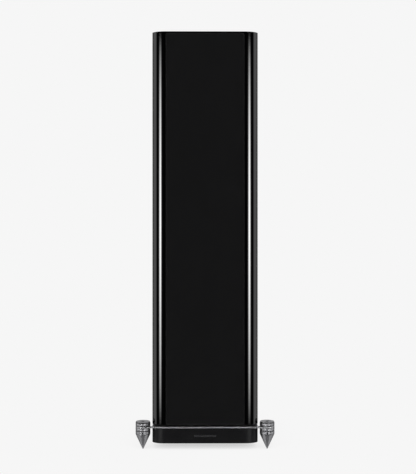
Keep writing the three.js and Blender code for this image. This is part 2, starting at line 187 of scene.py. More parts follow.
def knit_cloth(name):
    """Acoustic knit: a mesh of fine threads, with a slight unevenness over a hand's breadth."""
    paint = Paint(name)
    threads = paint.calc("MAXIMUM", paint.stripes(330, "Z"), paint.stripes(330, "X"))
    slubs = paint.noise(420, 4, stretch=(1, 1, 0.25))
    relief = paint.calc("MULTIPLY", threads, paint.mapped(slubs, 0.6, 1.0))
    uneven = paint.mapped(paint.noise(9), 0.8, 1.15)
    shade = paint.calc("MULTIPLY", paint.mapped(relief, 0.55, 1.0), uneven)
    paint.tint(shade, (0.0007, 0.0007, 0.0008), (0.0029, 0.0029, 0.0031))
    paint.bump(relief, 0.00012, 0.6)
    paint.settle(Roughness=0.92, Specular_IOR_Level=0.15, Sheen_Weight=0.03, Sheen_Roughness=0.5,
                 Sheen_Tint=(0.6, 0.6, 0.62, 1))


def fibreboard(name):
    """Bare MDF: packed fibres, a little darker where the glue has soaked in."""
    paint = Paint(name)
    fibres = paint.noise(900, 5, 0.7, (1, 1, 3))
    mixed = paint.blended(fibres, paint.noise(14), 0.6)
    paint.tint(mixed, (0.26, 0.165, 0.085), (0.5, 0.36, 0.22))
    paint.bump(fibres, 0.00008, 0.7)
    paint.settle(Roughness=0.88, Specular_IOR_Level=0.25)


def woven(name, dark, light, scale, roughness):
    """Woven cloth with a warp along X and a weft along Z."""
    paint = Paint(name)
    weave = paint.calc("MULTIPLY", paint.stripes(scale, "X"), paint.stripes(scale, "Z"))
    paint.tint(paint.blended(weave, paint.noise(60), 0.6), dark, light)
    paint.bump(weave, 0.0001, 0.6)
    paint.settle(Roughness=roughness)


def wound_wire(name, dark, light, scale, across):
    """Enamelled wire laid turn beside turn."""
    paint = Paint(name)
    turns = paint.stripes(scale, across)
    enamel = paint.mapped(paint.noise(120), 0.7, 1.0)
    paint.tint(paint.calc("MULTIPLY", turns, enamel), dark, light)
    paint.bump(turns, 0.0002, 0.7)
    paint.settle(Metallic=0.85, Roughness=0.32)


# polished, with a trace of orange peel and polishing haze
speckled("black_lacquer", (22, 4), (0.0005, 0.0005, 0.0006), (0.0011, 0.0011, 0.0012), (0.025, 0.055),
         0.000012, (260, 2, 0.4), 1.0, IOR=1.5, Coat_Weight=0.0)
# satin paint with a fine eggshell texture
speckled("satin_black", (40,), (0.0053, 0.0053, 0.0058), (0.0090, 0.0090, 0.0096), (0.27, 0.34),
         0.00003, (1600, 2), IOR=1.5, Specular_IOR_Level=0.10)
fibreboard("raw_mdf")
knit_cloth("grille_cloth")
moulded_plastic("black_plastic", (0.014, 0.014, 0.015), 0.48)
turned_metal("satin_nickel", (0.27, 0.27, 0.28), 0.4, "Z")
turned_metal("steel_plate", (0.37, 0.37, 0.38), 0.44, "Z")
turned_metal("cast_alloy", (0.028, 0.028, 0.03), 0.46, "Y", 0.3)
# pressed pulp under a thin matt coat
speckled("cone_paper", (700, 6, 0.7), (0.010, 0.010, 0.011), (0.026, 0.026, 0.028), (0.42, 0.62),
         0.00008)
speckled("rubber", (90, 4), (0.005, 0.005, 0.005), (0.011, 0.011, 0.011), (0.5, 0.7), 0.00002, (1500, 2))
woven("spider_cloth", (0.2, 0.11, 0.03), (0.42, 0.27, 0.09), 500, 0.85)
wound_wire("coil_wire", (0.12, 0.04, 0.015), (0.6, 0.27, 0.12), 900, "Y")
# dull grey ceramic with fine pores
speckled("ferrite", (800, 5, 0.7), (0.016, 0.016, 0.018), (0.045, 0.045, 0.048), (0.5, 0.75), 0.00006)
woven("silk", (0.005, 0.005, 0.006), (0.014, 0.014, 0.015), 1400, 0.5)
turned_metal("gold_plate", (0.83, 0.58, 0.24), 0.16, "Y")
moulded_plastic("red_plastic", (0.36, 0.008, 0.012), 0.22, 0.000005)
moulded_plastic("terminal_black", (0.01, 0.01, 0.01), 0.22, 0.000005)
moulded_plastic("circuit_board", (0.02, 0.10, 0.035), 0.4)
wound_wire("copper_wire", (0.2, 0.06, 0.02), (0.62, 0.28, 0.12), 450, "Z")
turned_metal("zinc_steel", (0.6, 0.6, 0.62), 0.3, "Y")
turned_metal("badge_metal", (0.05, 0.05, 0.052), 0.4, "Y")


# -------- mesh helpers


def object_of(name, mesh_builder):
    """A new scene object from a bmesh, with its faces turned outward."""
    bmesh.ops.recalc_face_normals(mesh_builder, faces=mesh_builder.faces)
    mesh = bpy.data.meshes.new(name)
    mesh_builder.to_mesh(mesh)
    mesh_builder.free()
    obj = bpy.data.objects.new(name, mesh)
    bpy.context.scene.collection.objects.link(obj)
    return obj


def bridged(builder, rings, closed=False):
    """Faces between each ring of points and the next; a ring of one point is a pole."""
    pairs = list(zip(rings, rings[1:])) + ([(rings[-1], rings[0])] if closed else [])
    for one, other in pairs:
        count = max(len(one), len(other))
        for step in range(count):
            following = (step + 1) % count
            corners = []
            for ring, order in ((one, (step, following)), (other, (following, step))):
                corners += ring if len(ring) == 1 else [ring[k] for k in order]
            builder.faces.new(corners)


def rounded(profile, closed, fillet=0.4 * MM):
    """A profile with its corners rounded; an entry's third value is its own fillet, in millimetres."""
    count, steps = len(profile), 4
    result = []
    for index, (radius, height, *own) in enumerate(profile):
        reach = own[0] * MM if own else fillet
        if reach == 0 or (not closed and index in (0, count - 1)):
            result.append((radius, height))
            continue
        corner = Vector((radius, height))
        before = Vector(profile[index - 1][:2]) - corner
        after = Vector(profile[(index + 1) % count][:2]) - corner
        start = corner + before.normalized() * min(reach, 0.48 * before.length)
        end = corner + after.normalized() * min(reach, 0.48 * after.length)
        for step in range(steps + 1):
            t = step / steps
            point = (1 - t) ** 2 * start + 2 * t * (1 - t) * corner + t * t * end
            result.append((point.x, point.y))
    return result


def turned(name, profile, centre, axis="Y", closed=False, segments=96):
    """A solid turned about an axis through centre, from [(radius, distance along the axis)]: a profile
    that is closed on itself, or that has both its ends on the axis."""
    builder = bmesh.new()
    angles = [2 * math.pi * step / segments for step in range(segments)]

    def place(radius, along, angle):
        u, v = radius * math.cos(angle), radius * math.sin(angle)
        return Vector(centre) + (Vector((u, v, along)) if axis == "Z" else Vector((u, along, v)))

    rings = []
    for radius, along in profile:
        if radius < 1e-7:
            rings.append([builder.verts.new(place(0, along, 0))])
        else:
            rings.append([builder.verts.new(place(radius, along, angle)) for angle in angles])
    bridged(builder, rings, closed)
    return object_of(name, builder)


def lathed(name, profile, centre, closed=True, axis="Y", segments=96):
    """As turned(), with the profile's corners rounded."""
    return turned(name, rounded(profile, closed), centre, axis, closed, segments)


def ring_of(name, bore, radius, low, high, fillets, centre, axis="Y", segments=96):
    """A plain ring; the fillets are those of the bore, of the rim at low and of the rim at high."""
    at_bore, at_low, at_high = fillets
    return lathed(name, [
        (bore, low, at_bore),
        (radius, low, at_low),
        (radius, high, at_high),
        (bore, high, at_bore),
    ], centre, axis=axis, segments=segments)


def arc(centre_x, centre_y, radius_x, radius_y, start, end, steps):
    """Points round part of an ellipse; the angles are in degrees."""
    angles = [math.radians(start + (end - start) * step / steps) for step in range(steps + 1)]
    return [(centre_x + radius_x * math.cos(a), centre_y + radius_y * math.sin(a)) for a in angles]


def cap_profile(radius, crown, seat, bend, steps):
    """Section of a shallow dome, from its crown down to its seat; bend is its slope there."""
    drop = (seat - crown) / (1 - math.cos(bend))
    turns = [bend * step / steps for step in range(steps + 1)]
    return [(radius * math.sin(a) / math.sin(bend), crown + drop * (1 - math.cos(a))) for a in turns]


def rounded_rectangle(low, high, radius, steps=8):
    (x0, y0), (x1, y1) = low, high
    corners = ((x1 - radius, y0 + radius, -90), (x1 - radius, y1 - radius, 0),
               (x0 + radius, y1 - radius, 90), (x0 + radius, y0 + radius, 180))
    return [p for x, y, start in corners for p in arc(x, y, radius, radius, start, start + 90, steps)]


def inset(outline, distance):
    """An anticlockwise outline moved inward, each point along the mean of its edges' normals."""
    count = len(outline)
    result = []
    for index, point in enumerate(outline):
        before, after = outline[index - 1], outline[(index + 1) % count]
        normals = []
        for (ax, ay), (bx, by) in ((before, point), (point, after)):
            length = math.hypot(bx - ax, by - ay)
            if length > 1e-9:
                normals.append(Vector((-(by - ay) / length, (bx - ax) / length)))
        mean = sum(normals, Vector((0, 0))).normalized()
        spread = max(0.3, mean.dot(normals[0]))
        result.append((point[0] + mean.x * distance / spread, point[1] + mean.y * distance / spread))
    return result


def raised(name, outline, low, high, edges, axis="Z"):
    """An outline raised from low to high, with round edges; edges is (radius at low, radius at high)."""
    builder = bmesh.new()
    levels, steps = [], 5
    for radius, level, way in ((edges[0], low, 1), (edges[1], high, -1)):
        turns = [math.pi / 2]
        if radius:
            turns = [math.radians(90 * step / steps) for step in range(steps + 1)]
        half = [(radius * (1 - math.sin(t)), level + way * radius * (1 - math.cos(t))) for t in turns]
        levels += half if way == 1 else half[::-1]
    rings = []
    for distance, level in levels:
        points = inset(outline, distance) if distance > 1e-9 else outline
        places = [(x, y, level) if axis == "Z" else (x, level, y) for x, y in points]
        rings.append([builder.verts.new(place) for place in places])
    bridged(builder, rings)
    builder.faces.new(rings[0][::-1])
    builder.faces.new(rings[-1])
    return object_of(name, builder)


def cut(piece, *tools):
    """Takes the tools' shapes out of the piece, removes the tools, and closes what slivers are left."""
    for tool in tools:
        modifier = piece.modifiers.new("cut", "BOOLEAN")
        modifier.operation = "DIFFERENCE"
        modifier.solver = "EXACT"
        modifier.object = tool
    bpy.context.view_layer.update()
    graph = bpy.context.evaluated_depsgraph_get()
    mesh = bpy.data.meshes.new_from_object(piece.evaluated_get(graph))
    piece.modifiers.clear()
    piece.data = mesh
    for tool in tools:
        bpy.data.objects.remove(tool)
    builder = bmesh.new()
    builder.from_mesh(piece.data)
    sliver = 0.005 * MM
    bmesh.ops.remove_doubles(builder, verts=builder.verts, dist=sliver)
    bmesh.ops.dissolve_degenerate(builder, edges=builder.edges, dist=sliver)
    bmesh.ops.holes_fill(builder, edges=[edge for edge in builder.edges if edge.is_boundary], sides=8)
    builder.to_mesh(piece.data)
    builder.free()
    return piece


def joined(name, pieces):
    """Several objects as one."""
    builder = bmesh.new()
    for piece in pieces:
        builder.from_mesh(piece.data)
        bpy.data.objects.remove(piece)
    return object_of(name, builder)


def middle(node):
    low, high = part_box(node)
    return (low + high) / 2


def radius_of(node):
    low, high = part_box(node)
    return (high.x - low.x) / 2


def depths_of(node, face=0):
    """Where the node begins and ends along Y, behind a mounting face."""
    return [corner.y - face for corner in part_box(node)]


def heights_of(node):
    return [corner.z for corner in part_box(node)]


def finished(piece, material, body, *replaced, sharp_degrees=35):
    """Gives the piece its material, smooth shading and body, and hides the CAD parts it replaces."""
    piece.data.materials.clear()
    piece.data.materials.append(MATERIALS[material])
    piece.data.shade_smooth()
    piece.data.set_sharp_from_angle(angle=math.radians(sharp_degrees))
    weighted = piece.modifiers.new("weighted_normals", "WEIGHTED_NORMAL")
    weighted.keep_sharp = True
    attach(piece, body)
    if replaced:
        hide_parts(*replaced)
    return piece


def hexagon_tool(centre, across_flats, from_height, to_height, axis):
    """A hexagonal cutter for a key socket."""
    radius = across_flats / math.sqrt(3)
    along = 2 if axis == "Z" else 1
    base = Vector(centre)
    base[along] = 0
    points = arc(0, 0, radius, radius, 0, 300, 5)
    tool = raised("hexagon", points, from_height, to_height, (0, 0), axis)
    tool.data.transform(Matrix.Translation(base))
    return tool


def drill(radius, length, start, axis="Y", segments=96):
    """A cutter for a plain round hole, from its start along the axis."""
    profile = [(0, 0), (radius, 0), (radius, length), (0, length)]
    return turned("hole", profile, start, axis, segments=segments)


def screw(centre, radius, out, socket):
    """A countersunk socket screw along Y; out is -1 at the front and 1 at the back."""
    depth = 1.6 * MM
    profile = [
        (0, 0),
        (radius, 0, 0.3),
        (radius, -out * 0.4 * MM, 0.1),
        (0.6 * radius, -out * depth),
        (0, -out * depth),
    ]
    head = turned("screw", rounded(profile, False, 0), centre, segments=32)
    y = centre[1]
    near, far = sorted((y + out * MM, y - out * 1.1 * MM))
    return cut(head, hexagon_tool(centre, socket, near, far, "Y"))


def screw_seat(centre, radius, out=-1):
    """A cutter for the counterbore that a screw head sits in."""
    rim, floor = -0.2 * MM, -2.2 * MM
    profile = [(0, 5 * MM), (radius, 5 * MM), (radius, rim), (0.92 * radius, floor), (0, floor)]
    return turned("seat", [(r, out * y) for r, y in profile], centre, segments=32)


def screws_round(centre, ring, count, seat, head, socket):
    """Screws round a driver's flange: the cutters for their seats, and the screws."""
    seats, heads = [], []
    for index in range(count):
        angle = 2 * math.pi * (index + 0.5) / count
        place = centre + Vector((ring * math.cos(angle), 0, ring * math.sin(angle)))
        seats.append(screw_seat(place, seat))
        heads.append(screw(place + Vector((0, 0.3 * MM, 0)), head, -1, socket))
    return seats, heads


# -------- cabinet


def cabinet_outline():
    """Plan of the cabinet: broad elliptical corners in front, small round ones behind."""
    (left, front, _), (right, back, _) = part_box("top_panel")
    post_low, post_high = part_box("front_baffle")
    corner_width = right - post_high.x - 0.3 * MM
    corner_depth = post_high.y - post_low.y
    back_corner = 6 * MM
    points = arc(left + corner_width, front + corner_depth, corner_width, corner_depth, 180, 270, 40)
    points += arc(right - corner_width, front + corner_depth, corner_width, corner_depth, 270, 360, 40)
    points += arc(right - back_corner, back - back_corner, back_corner, back_corner, 0, 90, 10)
    points += arc(left + back_corner, back - back_corner, back_corner, back_corner, 90, 180, 10)
    return points


def round_hole(node, depth, out=-1):
    """A cutter for a turned piece let into the shell: its recess, with a fine chamfer at the mouth."""
    low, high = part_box(node)
    centre = middle(node)
    size = radius_of(node) + 0.3 * MM
    face = low.y if out < 0 else high.y
    chamfer = 0.5 * MM
    profile = [
        (0, out * 10 * MM),
        (size + chamfer, out * 10 * MM),
        (size + chamfer, 0),
        (size, -out * chamfer),
        (size, -out * depth),
        (0, -out * depth),
    ]
    return turned("hole", profile, (centre.x, face, centre.z), segments=128)


def add_cabinet():
    bottom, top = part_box("side_panel_left")[0].z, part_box("top_panel")[1].z
    shell = raised("cabinet_shell", cabinet_outline(), bottom, top, (1.2 * MM, 0.7 * MM))
    inner_low, inner_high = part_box("base_panel")
    back_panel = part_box("back_panel")[0].y
    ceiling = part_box("top_panel")[0].z
    margin = 0.3 * MM
    room = rounded_rectangle((inner_low.x - margin, inner_low.y - margin),
                             (inner_high.x + margin, back_panel), 1 * MM, 3)
    tools = [raised("cavity", room, bottom - 10 * MM, ceiling, (0, 0))]

    def bore(node, radius, start):
        centre = middle(node)
        tools.append(drill(radius, 30 * MM, (centre.x, start, centre.z)))

    for name in DRIVER_NAMES:
        tools.append(round_hole(f"{name}_basket", 5.3 * MM))
        wall = radius_of(f"{name}_surround") + 4.9 * MM
        bore(f"{name}_basket", wall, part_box(f"{name}_basket")[0].y + 1 * MM)
    tools.append(round_hole("tweeter_faceplate", 4.3 * MM))
    motor = radius_of("tweeter_magnet") + margin
    bore("tweeter_faceplate", motor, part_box("tweeter_faceplate")[0].y + 1 * MM)
    tools.append(round_hole("port_tube", 3.3 * MM, out=1))
    bore("port_tube", 37.3 * MM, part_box("port_tube")[1].y - 29 * MM)

    plate_low, plate_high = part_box("terminal_plate")
    for name, inside, radius, start in (("rebate", -margin, 4.3 * MM, plate_low.y - margin),
                                        ("opening", 10 * MM, 6 * MM, plate_low.y - 30 * MM)):
        outline = rounded_rectangle((plate_low.x + inside, plate_low.z + inside),
                                    (plate_high.x - inside, plate_high.z - inside), radius)
        tools.append(raised(name, outline, start, plate_high.y + 10 * MM, (0, 0), "Y"))
    cut(shell, *tools)
    finished(shell, "black_lacquer", "cabinet",
             "side_panel_left", "side_panel_right", "top_panel", "back_panel", "front_baffle")


# -------- plinth and feet


def plate_outline():
    """Plan of the steel plate: arms to each side in front, lugs behind the cabinet."""
    plate_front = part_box("outrigger_plate")[0].y
    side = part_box("top_panel")[1].x
    radius = radius_of("front_right_foot_bolt")
    front = middle("front_right_foot_bolt")
    back = middle("back_right_foot_bolt")
    plate_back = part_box("plinth_block")[1].y + 2 * MM
    arm_back, arm_fillet, fillet = plate_front + 11 * MM, 4 * MM, 8 * MM
    pad_end = 180 + math.degrees(math.asin((front.y - arm_back) / radius))
    half = arc(front.x, front.y, radius, radius, -90, pad_end, 32)
    half += arc(side + arm_fillet, arm_back + arm_fillet, arm_fillet, arm_fillet, 270, 180, 8)
    half += arc(back.x, back.y, radius, radius, 0, 180, 24)
    half += arc(back.x - radius - fillet, plate_back + fillet, fillet, fillet, 360, 270, 8)
    return half + [(-x, y) for x, y in reversed(half)]


def add_plinth():
    low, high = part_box("outrigger_plate")
    plate = raised("outrigger_plate_body", plate_outline(), low.z, high.z, (0.6 * MM, 0.6 * MM))
    holes = []
    for name in FOOT_NAMES:
        centre = middle(f"{name}_foot_bolt")
        start = (centre.x, centre.y, low.z - 5 * MM)
        holes.append(drill(5.4 * MM, 20 * MM, start, "Z", 48))
    cut(plate, *holes)
    finished(plate, "steel_plate", "cabinet", "outrigger_plate")

    low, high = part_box("plinth_block")
    block = raised("plinth_body", cabinet_outline(), low.z, high.z, (1.5 * MM, 1.0 * MM))
    finished(block, "satin_black", "cabinet", "plinth_block")

    half_width, half_height, thickness = 31 * MM, 2.4 * MM, 0.5 * MM
    centre_z = low.z + 21 * MM
    under, over = centre_z - half_height, centre_z + half_height
    outline = rounded_rectangle((-half_width, under), (half_width, over), 1 * MM, 6)
    badge = raised("plain_badge", outline, low.y - thickness, low.y + thickness, (0.2 * MM, 0), "Y")
    finished(badge, "badge_metal", "cabinet")


def add_foot(name):
    """A headed bolt with a key socket, its clamp nut, the levelling wheel and the spike."""
    bottom, top = heights_of(f"{name}_foot_bolt")
    centre = middle(f"{name}_foot_bolt")
    origin = (centre.x, centre.y, 0)
    radius = radius_of(f"{name}_foot_bolt")
    neck, stud, bore = radius - 6 * MM, 5 * MM, 5.4 * MM
    plate_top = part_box("outrigger_plate")[1].z
    seat, brim = plate_top + 0.3 * MM, plate_top + 1.8 * MM
    head = lathed(f"{name}_bolt", [
        (0, bottom),
        (stud - 1 * MM, bottom, 0.2),
        (stud, bottom + 1 * MM, 0.2),
        (stud, seat, 0.1),
        (neck, seat, 0.2),
        (neck, brim, 0.1),
        (radius, brim, 0.35),
        (radius, top - 2.9 * MM, 0.4),
        (neck, top - 2.9 * MM, 0.15),
        (neck, top - 0.7 * MM, 0.15),
        (radius - 0.6 * MM, top - 0.7 * MM, 0.15),
        (radius - 0.6 * MM, top, 0.3),
        (8.5 * MM, top, 0.3),
        (8 * MM, top - 0.5 * MM, 0.2),
        (0, top - 0.5 * MM),
    ], origin, closed=False, axis="Z", segments=128)
    cut(head, hexagon_tool(origin, 8 * MM, top - 6 * MM, top + 5 * MM, "Z"))
    finished(head, "satin_nickel", "cabinet", f"{name}_foot_bolt")
    # a black ring in the rubber material fills the groove under the head's rim: a dark ring put there as
    # painted shade, to darken the groove
    under, over = top - 2.8 * MM, top - 0.8 * MM
    shade_ring = ring_of(f"{name}_dark_groove_ring", neck + 0.1 * MM, radius - 1.6 * MM, under, over,
                   (0.1, 0.7, 0.7), origin, "Z", 128)
    finished(shade_ring, "rubber", "cabinet")

    low, high = heights_of(f"{name}_clamp_nut")
    nut = ring_of(f"{name}_nut", bore, radius, low, high, (0.2, 0.5, 0.35), origin, "Z", 128)
    finished(nut, "satin_nickel", "cabinet", f"{name}_clamp_nut")

    low, high = heights_of(f"{name}_levelling_wheel")
    shoulder = high - 1.8 * MM
    wheel = lathed(f"{name}_wheel", [
        (bore, low, 0.2),
        (radius - 0.8 * MM, low, 0.1),
        (radius, low + 0.8 * MM, 0.3),
        (radius, shoulder, 0.4),
        (neck, shoulder, 0.15),
        (neck, high, 0.2),
        (bore, high, 0.2),
    ], origin, axis="Z", segments=128)
    bar_holes = []
    for turn in (0, 120, 240):
        direction = math.radians(turn - 90)
        tool = drill(1.6 * MM, 12 * MM, (0, 0, 0), "Z", 24)
        place = Matrix.Translation((centre.x, centre.y, (low + shoulder) / 2))
        sideways = Matrix.Rotation(direction, 4, "Z") @ Matrix.Rotation(math.radians(90), 4, "Y")
        tool.data.transform(place @ sideways @ Matrix.Translation((0, 0, radius - 6 * MM)))
        bar_holes.append(tool)
    cut(wheel, *bar_holes)
    finished(wheel, "satin_nickel", f"{name}_wheel", f"{name}_levelling_wheel")

    low, high = heights_of(f"{name}_spike")
    tip = 1.5 * MM
    spike = lathed(f"{name}_cone", [
        (0, low),
        (0.6 * tip, low, 0.2),
        (tip, low + 0.8 * MM, 0.8),
        (radius - 0.6 * MM, high - 1.6 * MM, 0.8),
        (radius - 0.2 * MM, high, 0.3),
        (bore, high, 0.2),
        (bore, 26 * MM, 0.2),
        (0, 26 * MM),
    ], origin, closed=False, axis="Z", segments=128)
    finished(spike, "satin_nickel", f"{name}_spike", f"{name}_spike")


# -------- drivers


def stretched(piece, material, replaced):
    """Like finished() for a ring, but with no body: gives it its material and smooth shading, bakes its
    placement into the mesh, and hides the part it replaces.
    """
    piece.data.materials.append(MATERIALS[material])
    piece.data.shade_smooth()
    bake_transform(piece)
    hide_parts(replaced)


def add_driver(name):
    """A cone driver: basket, rubber surround, cone with its dust cap, spider, voice coil and motor."""
    moving = f"{name}_diaphragm"
    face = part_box(f"{name}_basket")[0].y
    centre = Vector((0, face, middle(f"{name}_basket").z))

    flange, edge = radius_of(f"{name}_basket"), radius_of(f"{name}_cone")
    inner = radius_of(f"{name}_surround") + 0.3 * MM
    rear, coil = radius_of(f"{name}_magnet") - 2 * MM, radius_of(f"{name}_voice_coil")
    wall, depth = inner + 4 * MM, depths_of(f"{name}_basket", face)[1]
    spider_outer = radius_of(f"{name}_spider")

    shell = lathed(f"{name}_frame", [
        (flange, 0, 0.8),
        (flange, 5 * MM, 0.3),
        (wall, 5 * MM, 0.6),
        (wall, 14 * MM, 3),
        (rear, depth - 6 * MM, 2),
        (rear, depth, 0.6),
        (coil + 10 * MM, depth, 0.4),
        (coil + 10 * MM, depth - 4 * MM, 0.4),
        (rear - 10 * MM, depth - 4 * MM, 0.6),
        (rear - 10 * MM, depth - 8 * MM, 0.4),
        (rear - 4.5 * MM, depth - 8 * MM, 0.6),
        (inner, 13 * MM, 3),
        (inner, 1 * MM, 0.3),
        (inner + 3 * MM, 0.2 * MM, 0.2),
        (inner + 3.4 * MM, 0, 0.1),
    ], centre, segments=120)
    windows = []
    for index in range(5):
        half_wide, half_deep = 0.21 * wall, 0.26 * depth
        outline = rounded_rectangle((-half_wide, -half_deep), (half_wide, half_deep), 5 * MM, 5)
        tool = raised("window", outline, -35 * MM, 35 * MM, (0, 0))
        tool.data.transform(Matrix.Translation((0, 0, (wall + rear) / 2)))
        turn = Matrix.Rotation(math.radians(72 * (index + 0.5)), 4, "Y")
        tool.data.transform(Matrix.Translation(centre + Vector((0, 0.5 * depth, 0))) @ turn)
        windows.append(tool)
    screw_ring = (flange + inner + 3.4 * MM) / 2
    count = 6 if name == "midrange" else 8
    seats, heads = screws_round(centre, screw_ring, count, 3.5 * MM, 3.1 * MM, 2.5 * MM)
    cut(shell, *windows, *seats)
    finished(shell, "cast_alloy", "cabinet", f"{name}_basket")
    finished(joined(f"{name}_screws", heads), "zinc_steel", "cabinet")

    outer_edge, inner_edge = inner - 0.3 * MM, edge + 0.3 * MM
    roll_top, seat_end = depths_of(f"{name}_surround", face)
    seat_depth, skin, lip = seat_end - 1.1 * MM, 1.0 * MM, 2.5 * MM
    rise = seat_depth - roll_top
    middle_radius, half_roll = (outer_edge + inner_edge) / 2, (outer_edge - inner_edge) / 2 - lip
    outside = [(r, seat_depth - h) for r, h in arc(middle_radius, 0, half_roll, rise, 0, 180, 28)]
    inside = arc(middle_radius, 0, half_roll - skin, rise - skin, 180, 0, 28)
    inside = [(r, seat_depth - h) for r, h in inside]
    under = seat_depth + skin
    section = [(outer_edge, seat_depth), *outside, (inner_edge, seat_depth), (inner_edge, under)]
    section += [(inside[0][0], under), *inside[1:-1], (inside[-1][0], under), (outer_edge, under)]
    roll = turned(f"{name}_roll", section, centre, closed=True, segments=120)
    stretched(roll, "rubber", f"{name}_surround")

    rim, bottom = depths_of(f"{name}_cone", face)
    neck, neck_depth = coil + 2 * MM, bottom - 3 * MM

    def flare_at(radius):
        return rim + (neck_depth - rim) * ((edge - radius) / (edge - neck)) ** 0.88

    radii = [edge + (neck - edge) * step / 14 for step in range(15)]
    flare = [(radius, flare_at(radius)) for radius in radii]
    behind = [(radius + 0.2 * MM, y + skin) for radius, y in flare[1:-1]]
    bore = neck - 1.8 * MM
    collar = [(bore, neck_depth + 1 * MM), (bore, bottom), (neck + 0.2 * MM, bottom)]
    section = flare + collar + behind[::-1] + [(edge, rim + skin)]
    cone = turned(f"{name}_membrane", section, centre, closed=True, segments=120)
    finished(cone, "cone_paper", moving, f"{name}_cone")

    cap_radius = neck + 3 * MM
    cap_seat = flare_at(cap_radius) - 0.3 * MM
    dome = cap_profile(cap_radius, cap_seat - 6.5 * MM, cap_seat, math.radians(62), 14)
    under = [(0.985 * radius, y + 0.7 * MM) for radius, y in reversed(dome)]
    cap = turned(f"{name}_dust_cap", dome + under, centre)
    finished(cap, "cone_paper", moving)

    level = sum(depths_of(f"{name}_spider", face)) / 2 - 0.3 * MM
    waves, start = 5, coil + 0.4 * MM
    crest = []
    for step in range(61):
        swing = 0.7 * MM * math.cos(2 * math.pi * waves * step / 60)
        crest.append((start + (spider_outer - start) * step / 60, level - swing))
    section = crest + [(radius, y + 0.6 * MM) for radius, y in reversed(crest)]
    disc = turned(f"{name}_corrugation", section, centre, closed=True)
    stretched(disc, "spider_cloth", f"{name}_spider")

    top, end = depths_of(f"{name}_voice_coil", face)
    winding = lathed(f"{name}_coil", [
        (coil - 1.1 * MM, top, 0.1),
        (coil - 0.6 * MM, top, 0.1),
        (coil - 0.6 * MM, end - 16 * MM, 0.1),
        (coil, end - 16 * MM, 0.2),
        (coil, end - 0.6 * MM, 0.2),
        (coil - 0.6 * MM, end, 0.1),
        (coil - 1.1 * MM, end, 0.1),
    ], centre)
    finished(winding, "coil_wire", moving, f"{name}_voice_coil")

    start, stop = depths_of(f"{name}_magnet", face)
    plate = 0.19 * (stop - start)
    front_plate = ring_of(f"{name}_front_plate", coil + 0.8 * MM, rear - 10 * MM, start, start + plate,
                          (0.3, 0.6, 0.6), centre)
    finished(front_plate, "zinc_steel", "cabinet")
    ferrite_end = stop - 0.28 * (stop - start)
    ferrite = ring_of(f"{name}_ferrite", coil + 8 * MM, rear + 2 * MM, start + plate + 0.1 * MM,
                      ferrite_end, (0.4, 1.2, 1.2), centre)
    finished(ferrite, "ferrite", "cabinet", f"{name}_magnet")
    pole = coil - 2.3 * MM
    yoke = lathed(f"{name}_yoke", [
        (0, start + 1.7 * MM),
        (pole, start + 1.7 * MM, 0.5),
        (pole, ferrite_end + 0.1 * MM, 0.3),
        (rear - 4 * MM, ferrite_end + 0.1 * MM, 0.8),
        (rear - 8 * MM, stop, 2),
        (0, stop),
    ], centre, closed=False)
    finished(yoke, "zinc_steel", "cabinet")


def add_tweeter():
    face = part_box("tweeter_faceplate")[0].y
    centre = Vector((0, face, middle("tweeter_faceplate").z))
    flange, dome, body = (radius_of(f"tweeter_{part}") for part in ("faceplate", "dome", "magnet"))
    back = depths_of("tweeter_faceplate", face)[1]
    throat = dome + 1.5 * MM
    mouth = 2.3 * dome
    tenths = [step / 10 for step in range(11)]
    horn = [(throat + (mouth - throat) * t, 3.4 * MM * (1 - t) ** 1.8, 0) for t in tenths]
    plate = lathed("tweeter_waveguide", [
        (flange, 0, 0.8),
        (flange, 4 * MM, 0.3),
        (body, 4 * MM, 0.4),
        (body, back, 0.4),
        (throat, back, 0.2),
        (throat, 3.6 * MM, 0),
        *horn,
    ], centre, segments=128)
    seats, heads = screws_round(centre, 0.84 * flange, 4, 3 * MM, 2.6 * MM, 2 * MM)
    cut(plate, *seats)
    finished(plate, "black_plastic", "cabinet", "tweeter_faceplate")
    finished(joined("tweeter_screws", heads), "zinc_steel", "cabinet")

    (crown, former), brim = depths_of("tweeter_dome", face), 4.2 * MM
    cap = cap_profile(0.86 * dome, crown, brim, math.radians(70), 18)
    roll = arc(0.93 * dome, brim, 0.07 * dome, 0.8 * MM, 180, 360, 8)[1:]
    skirt = [(dome, 5.4 * MM), (dome - 1 * MM, 5.6 * MM), (dome - 1 * MM, former)]
    skirt += [(dome - 1.4 * MM, former), (dome - 1.4 * MM, 5.2 * MM)]
    under = [(max(radius - 0.5 * MM, 0), y + 0.5 * MM) for radius, y in reversed(cap)]
    skin = turned("tweeter_silk_dome", cap + roll + skirt + under, centre)
    finished(skin, "silk", "tweeter_diaphragm", "tweeter_dome")

    start, stop = depths_of("tweeter_magnet", face)
    motor = lathed("tweeter_motor", [
        (0, start + 2.7 * MM),
        (dome - 2 * MM, start + 2.7 * MM, 0.4),
        (dome - 2 * MM, start + 13 * MM, 0.3),
        (dome + 1 * MM, start + 13 * MM, 0.3),
        (dome + 1 * MM, start, 0.3),
        (body, start, 0.8),
        (body, stop, 2),
        (0, stop),
    ], centre, closed=False)
    finished(motor, "ferrite", "cabinet", "tweeter_magnet")


# -------- grille


def cross_bars():
    """Height of each cross bar's middle, read off the CAD frame's own corners."""
    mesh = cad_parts["grille_frame"].data
    low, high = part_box("grille_frame")
    levels = sorted({round(v.co.z, 4) for v in mesh.vertices})
    inner = [z for z in levels if low.z + 20 * MM < z < high.z - 20 * MM]
    return [(a + b) / 2 for a, b in zip(inner[::2], inner[1::2])]


